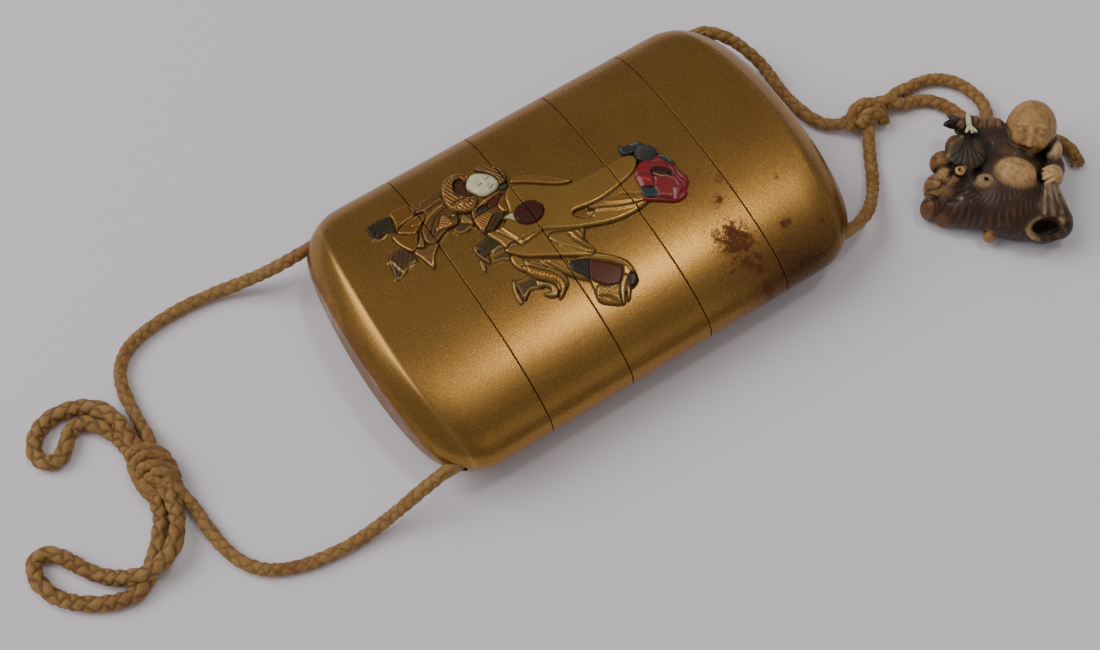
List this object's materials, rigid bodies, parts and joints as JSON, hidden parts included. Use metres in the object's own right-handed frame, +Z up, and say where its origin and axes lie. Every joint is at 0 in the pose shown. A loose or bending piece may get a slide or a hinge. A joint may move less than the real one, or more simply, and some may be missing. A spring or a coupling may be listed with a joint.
{
  "type": "inro case with cord and netsuke",
  "caption": "Small tiered lacquer case with raised lion dance relief, closed by a silk cord through side channels, with bow knot, slip knot and a carved toggle lying beside it.",
  "frame": {"origin": "middle of the resting strip under the case's broad side, on the surface it lies on", "axes": "+X along the case from the closed bottom section to the lid, +Y across its width, +Z up through the decorated broad face"},
  "size_m": [0.1942, 0.0731, 0.0188],
  "materials": {
    "gold_lacquer": "gold-dusted lacquer on thin wood, satin, worn reddish brown in places",
    "inlay_ivory": "pale yellowed ivory, polished",
    "red_lacquer": "deep red lacquer, glossy",
    "dark_lacquer": "greenish black lacquer, satin",
    "silk_cord": "ochre silk braid, soft sheen",
    "stained_ivory": "carved ivory, stained dark in the hollows, worn pale on the high places"
  },
  "bodies": {
    "root": {"bottom_case": "gold_lacquer", "second_case": "gold_lacquer", "third_case": "gold_lacquer", "fourth_case": "gold_lacquer", "lid": "gold_lacquer", "dancer_face": "inlay_ivory", "lion_head": "red_lacquer", "lion_mane": "dark_lacquer", "cord_far_side": "silk_cord", "cord_near_side": "silk_cord", "bow_loop_upper": "silk_cord", "bow_loop_lower": "silk_cord", "bow_knot": "silk_cord", "slip_knot": "silk_cord", "netsuke_cord_upper": "silk_cord", "netsuke_cord_lower": "silk_cord", "netsuke": "stained_ivory"}
  },
  "joints": []
}
